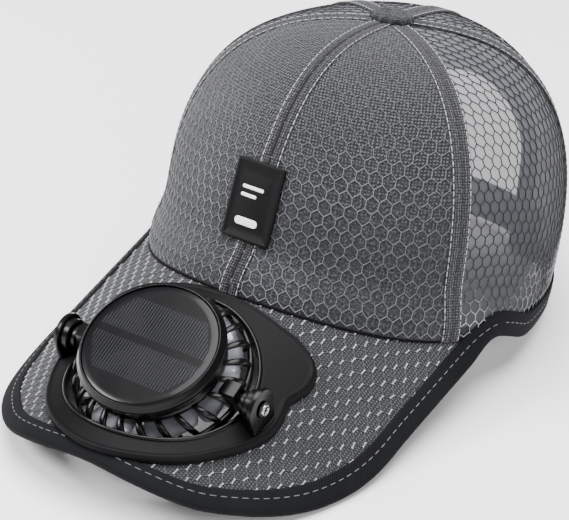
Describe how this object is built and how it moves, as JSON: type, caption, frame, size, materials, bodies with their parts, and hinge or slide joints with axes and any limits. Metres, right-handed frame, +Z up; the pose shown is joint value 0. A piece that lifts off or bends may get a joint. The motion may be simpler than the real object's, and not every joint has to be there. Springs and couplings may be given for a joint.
{
  "type": "solar fan hat",
  "caption": "Grey six-panel net cap whose curved peak carries a tilting round solar-powered fan in a black ribbed housing.",
  "frame": {"origin": "middle of the bottom of the hat's box, on the surface it rests on", "axes": "+Z up; the peak points towards -Y; +X is the wearer's left"},
  "size_m": [0.1674, 0.2886, 0.1289],
  "materials": {
    "net_over_cloth": "grey coarse net over dark cloth, matte",
    "open_net": "grey see-through hexagonal net, matte",
    "binding_tape": "charcoal woven tape, matte",
    "peak_cover": "grey mesh with a slight shine over a stiff board",
    "rubber_patch": "black, matte",
    "plate_plastic": "charcoal, satin",
    "housing_plastic": "black, half gloss",
    "bezel_plastic": "black, gloss",
    "cell_glass": "black under a clear glossy cover",
    "blade_plastic": "smoke grey, gloss",
    "steel": "bright"
  },
  "bodies": {
    "hat": {"crown_panel_front_left": "net_over_cloth", "crown_panel_front_right": "net_over_cloth", "crown_panel_side_left": "open_net", "crown_panel_side_right": "open_net", "crown_panel_back_left": "open_net", "crown_panel_back_right": "open_net", "top_button": "net_over_cloth", "front_label": "rubber_patch", "hem_binding_left": "binding_tape", "hem_binding_right": "binding_tape", "arch_binding": "binding_tape", "back_strap": "binding_tape", "peak": "peak_cover", "peak_binding": "binding_tape", "fan_base_plate": "plate_plastic"},
    "fan": {"fan_housing": "housing_plastic", "solar_bezel": "bezel_plastic", "solar_cell": "cell_glass", "fan_motor": "steel", "pivot_knob_left": "steel", "pivot_knob_right": "steel"},
    "impeller": {"fan_impeller": "blade_plastic"}
  },
  "joints": [
    {"name": "fan_tilt", "type": "hinge", "parent": "hat", "child": "fan", "pos_m": [0, -0.09657, 0.03465], "axis": [1, 0, 0], "range_deg": [-25, 20]},
    {"name": "fan_spin", "type": "hinge", "parent": "fan", "child": "impeller", "pos_m": [0, -0.09657, 0.03465], "axis": [0, -0.4691, 0.8831], "continuous": true}
  ]
}
